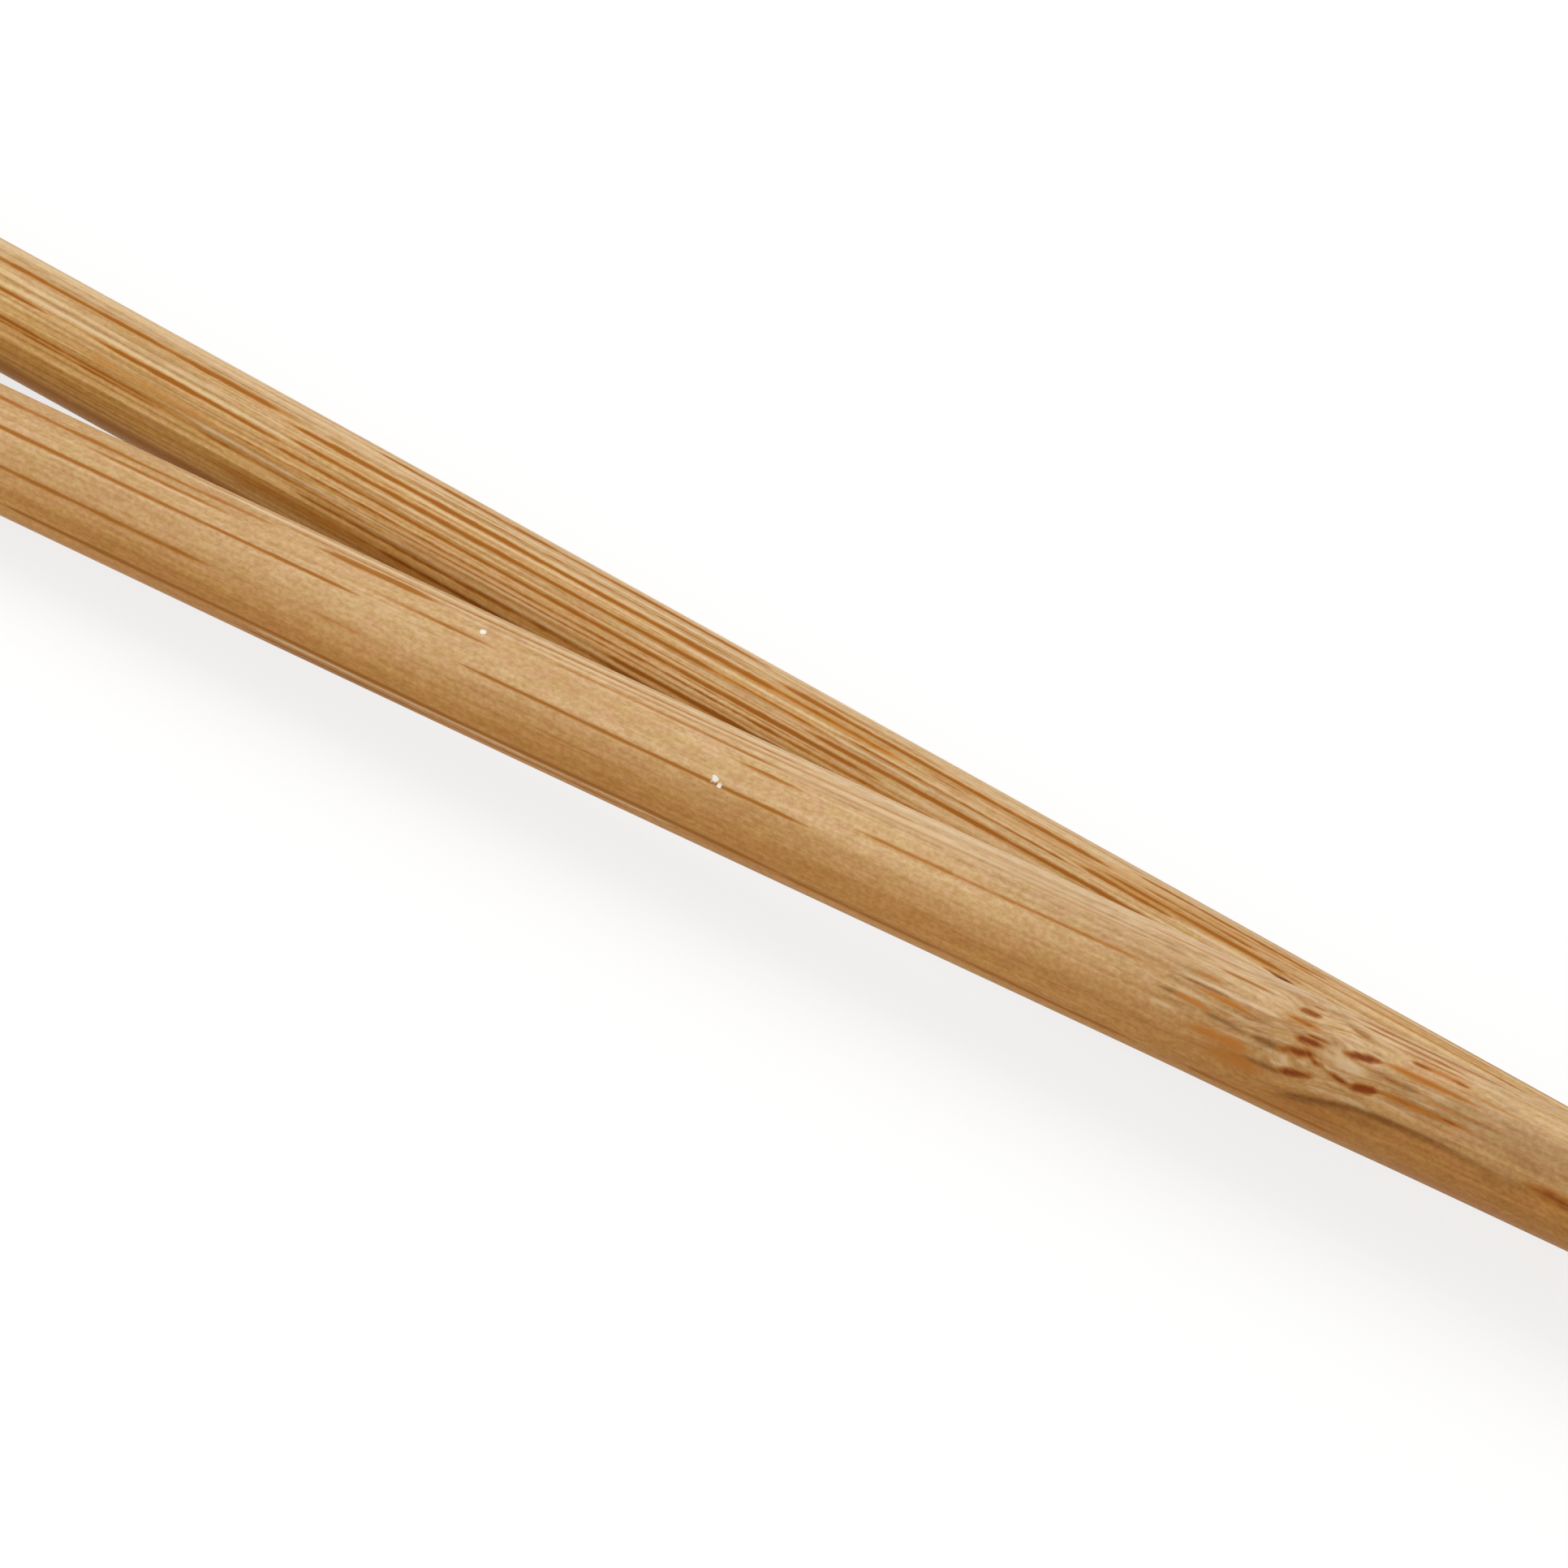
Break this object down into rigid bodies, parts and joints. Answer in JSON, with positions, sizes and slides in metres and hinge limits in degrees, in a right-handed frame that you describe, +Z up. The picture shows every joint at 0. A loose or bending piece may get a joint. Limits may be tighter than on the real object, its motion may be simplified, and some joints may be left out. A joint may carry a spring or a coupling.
{
  "type": "pair of bamboo chopsticks",
  "caption": "Round bamboo chopsticks with plain cylindrical handles and slender tapers to rounded tips, one lying flat and the other leaning across it.",
  "frame": {"origin": "on the resting surface, under the middle of the pair", "axes": "+X from the butt ends to the tips, midway between the two sticks; +Z up"},
  "size_m": [0.2401, 0.0168, 0.0137],
  "materials": {
    "bamboo_upper": "caramel bamboo, smooth sanded, satin, few fine fibre lines",
    "bamboo_lower": "caramel bamboo, smooth sanded, satin, dense dark fibre lines"
  },
  "bodies": {
    "root": {"upper_chopstick": "bamboo_upper", "lower_chopstick": "bamboo_lower"}
  },
  "joints": []
}
